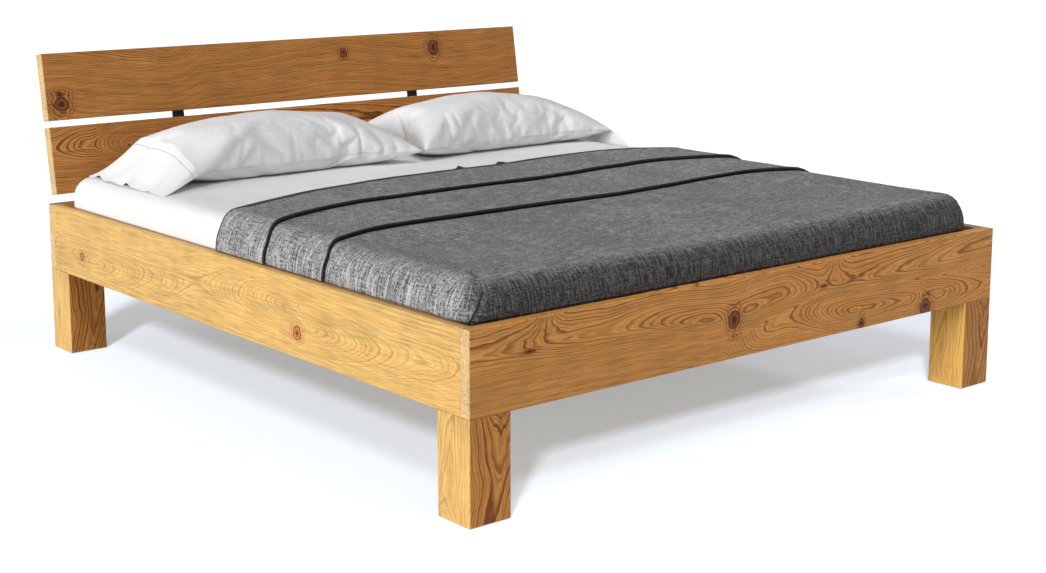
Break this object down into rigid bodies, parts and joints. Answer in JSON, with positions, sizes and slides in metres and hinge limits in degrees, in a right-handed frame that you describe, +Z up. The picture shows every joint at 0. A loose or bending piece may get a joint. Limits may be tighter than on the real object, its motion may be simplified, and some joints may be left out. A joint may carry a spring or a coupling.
{
  "type": "double plank bed",
  "caption": "Solid-pine platform bed on block legs with a leaning plank headboard, slats, mattress, fitted sheet, folded blanket and pillows.",
  "frame": {"origin": "on the floor, under the middle of the whole bed's bounding box", "axes": "+X across the bed to the right as seen from the foot, +Y from the foot to the head, +Z up"},
  "size_m": [1.871, 2.1505, 0.8998],
  "materials": {
    "oiled_pine": "satin",
    "planed_pine": "matte",
    "black_steel": "satin",
    "zinc_steel": "satin",
    "webbing": "matte",
    "felt": "matte",
    "ticking": "matte",
    "sheet_cotton": "matte",
    "blanket_cotton": "matte",
    "pillow_cotton": "matte"
  },
  "bodies": {
    "bed_frame": {"foot_board": "oiled_pine", "beam_hanger_foot": "zinc_steel", "head_end_board": "oiled_pine", "beam_hanger_head": "zinc_steel", "side_rail_left": "oiled_pine", "ledge_left": "planed_pine", "slats_left": "planed_pine", "slat_straps_left": "webbing", "headboard_bracket_left": "black_steel", "leg_foot_left": "oiled_pine", "leg_head_left": "oiled_pine", "side_rail_right": "oiled_pine", "ledge_right": "planed_pine", "slats_right": "planed_pine", "slat_straps_right": "webbing", "headboard_bracket_right": "black_steel", "leg_foot_right": "oiled_pine", "leg_head_right": "oiled_pine", "headboard_plank_lower": "oiled_pine", "headboard_plank_upper": "oiled_pine", "centre_beam": "planed_pine", "centre_leg": "planed_pine", "centre_leg_bolt": "zinc_steel", "corner_bolts": "zinc_steel", "bracket_screws": "black_steel", "plank_screws": "black_steel", "ledge_screws": "zinc_steel", "hanger_screws": "zinc_steel", "leg_glides": "felt"},
    "mattress": {"mattress": "ticking", "fitted_sheet": "sheet_cotton", "blanket": "blanket_cotton"},
    "pillow_left": {"pillow_left": "pillow_cotton", "pillowcase_flap_left": "pillow_cotton"},
    "pillow_right": {"pillow_right": "pillow_cotton", "pillowcase_flap_right": "pillow_cotton"}
  },
  "joints": [
    {"name": "mattress_lift", "type": "slide", "parent": "bed_frame", "child": "mattress", "axis": [0, 0, 1], "range_m": [0, 0.35]},
    {"name": "pillow_left_lift", "type": "slide", "parent": "mattress", "child": "pillow_left", "axis": [0, 0, 1], "range_m": [0, 0.25]},
    {"name": "pillow_right_lift", "type": "slide", "parent": "mattress", "child": "pillow_right", "axis": [0, 0, 1], "range_m": [0, 0.25]}
  ]
}
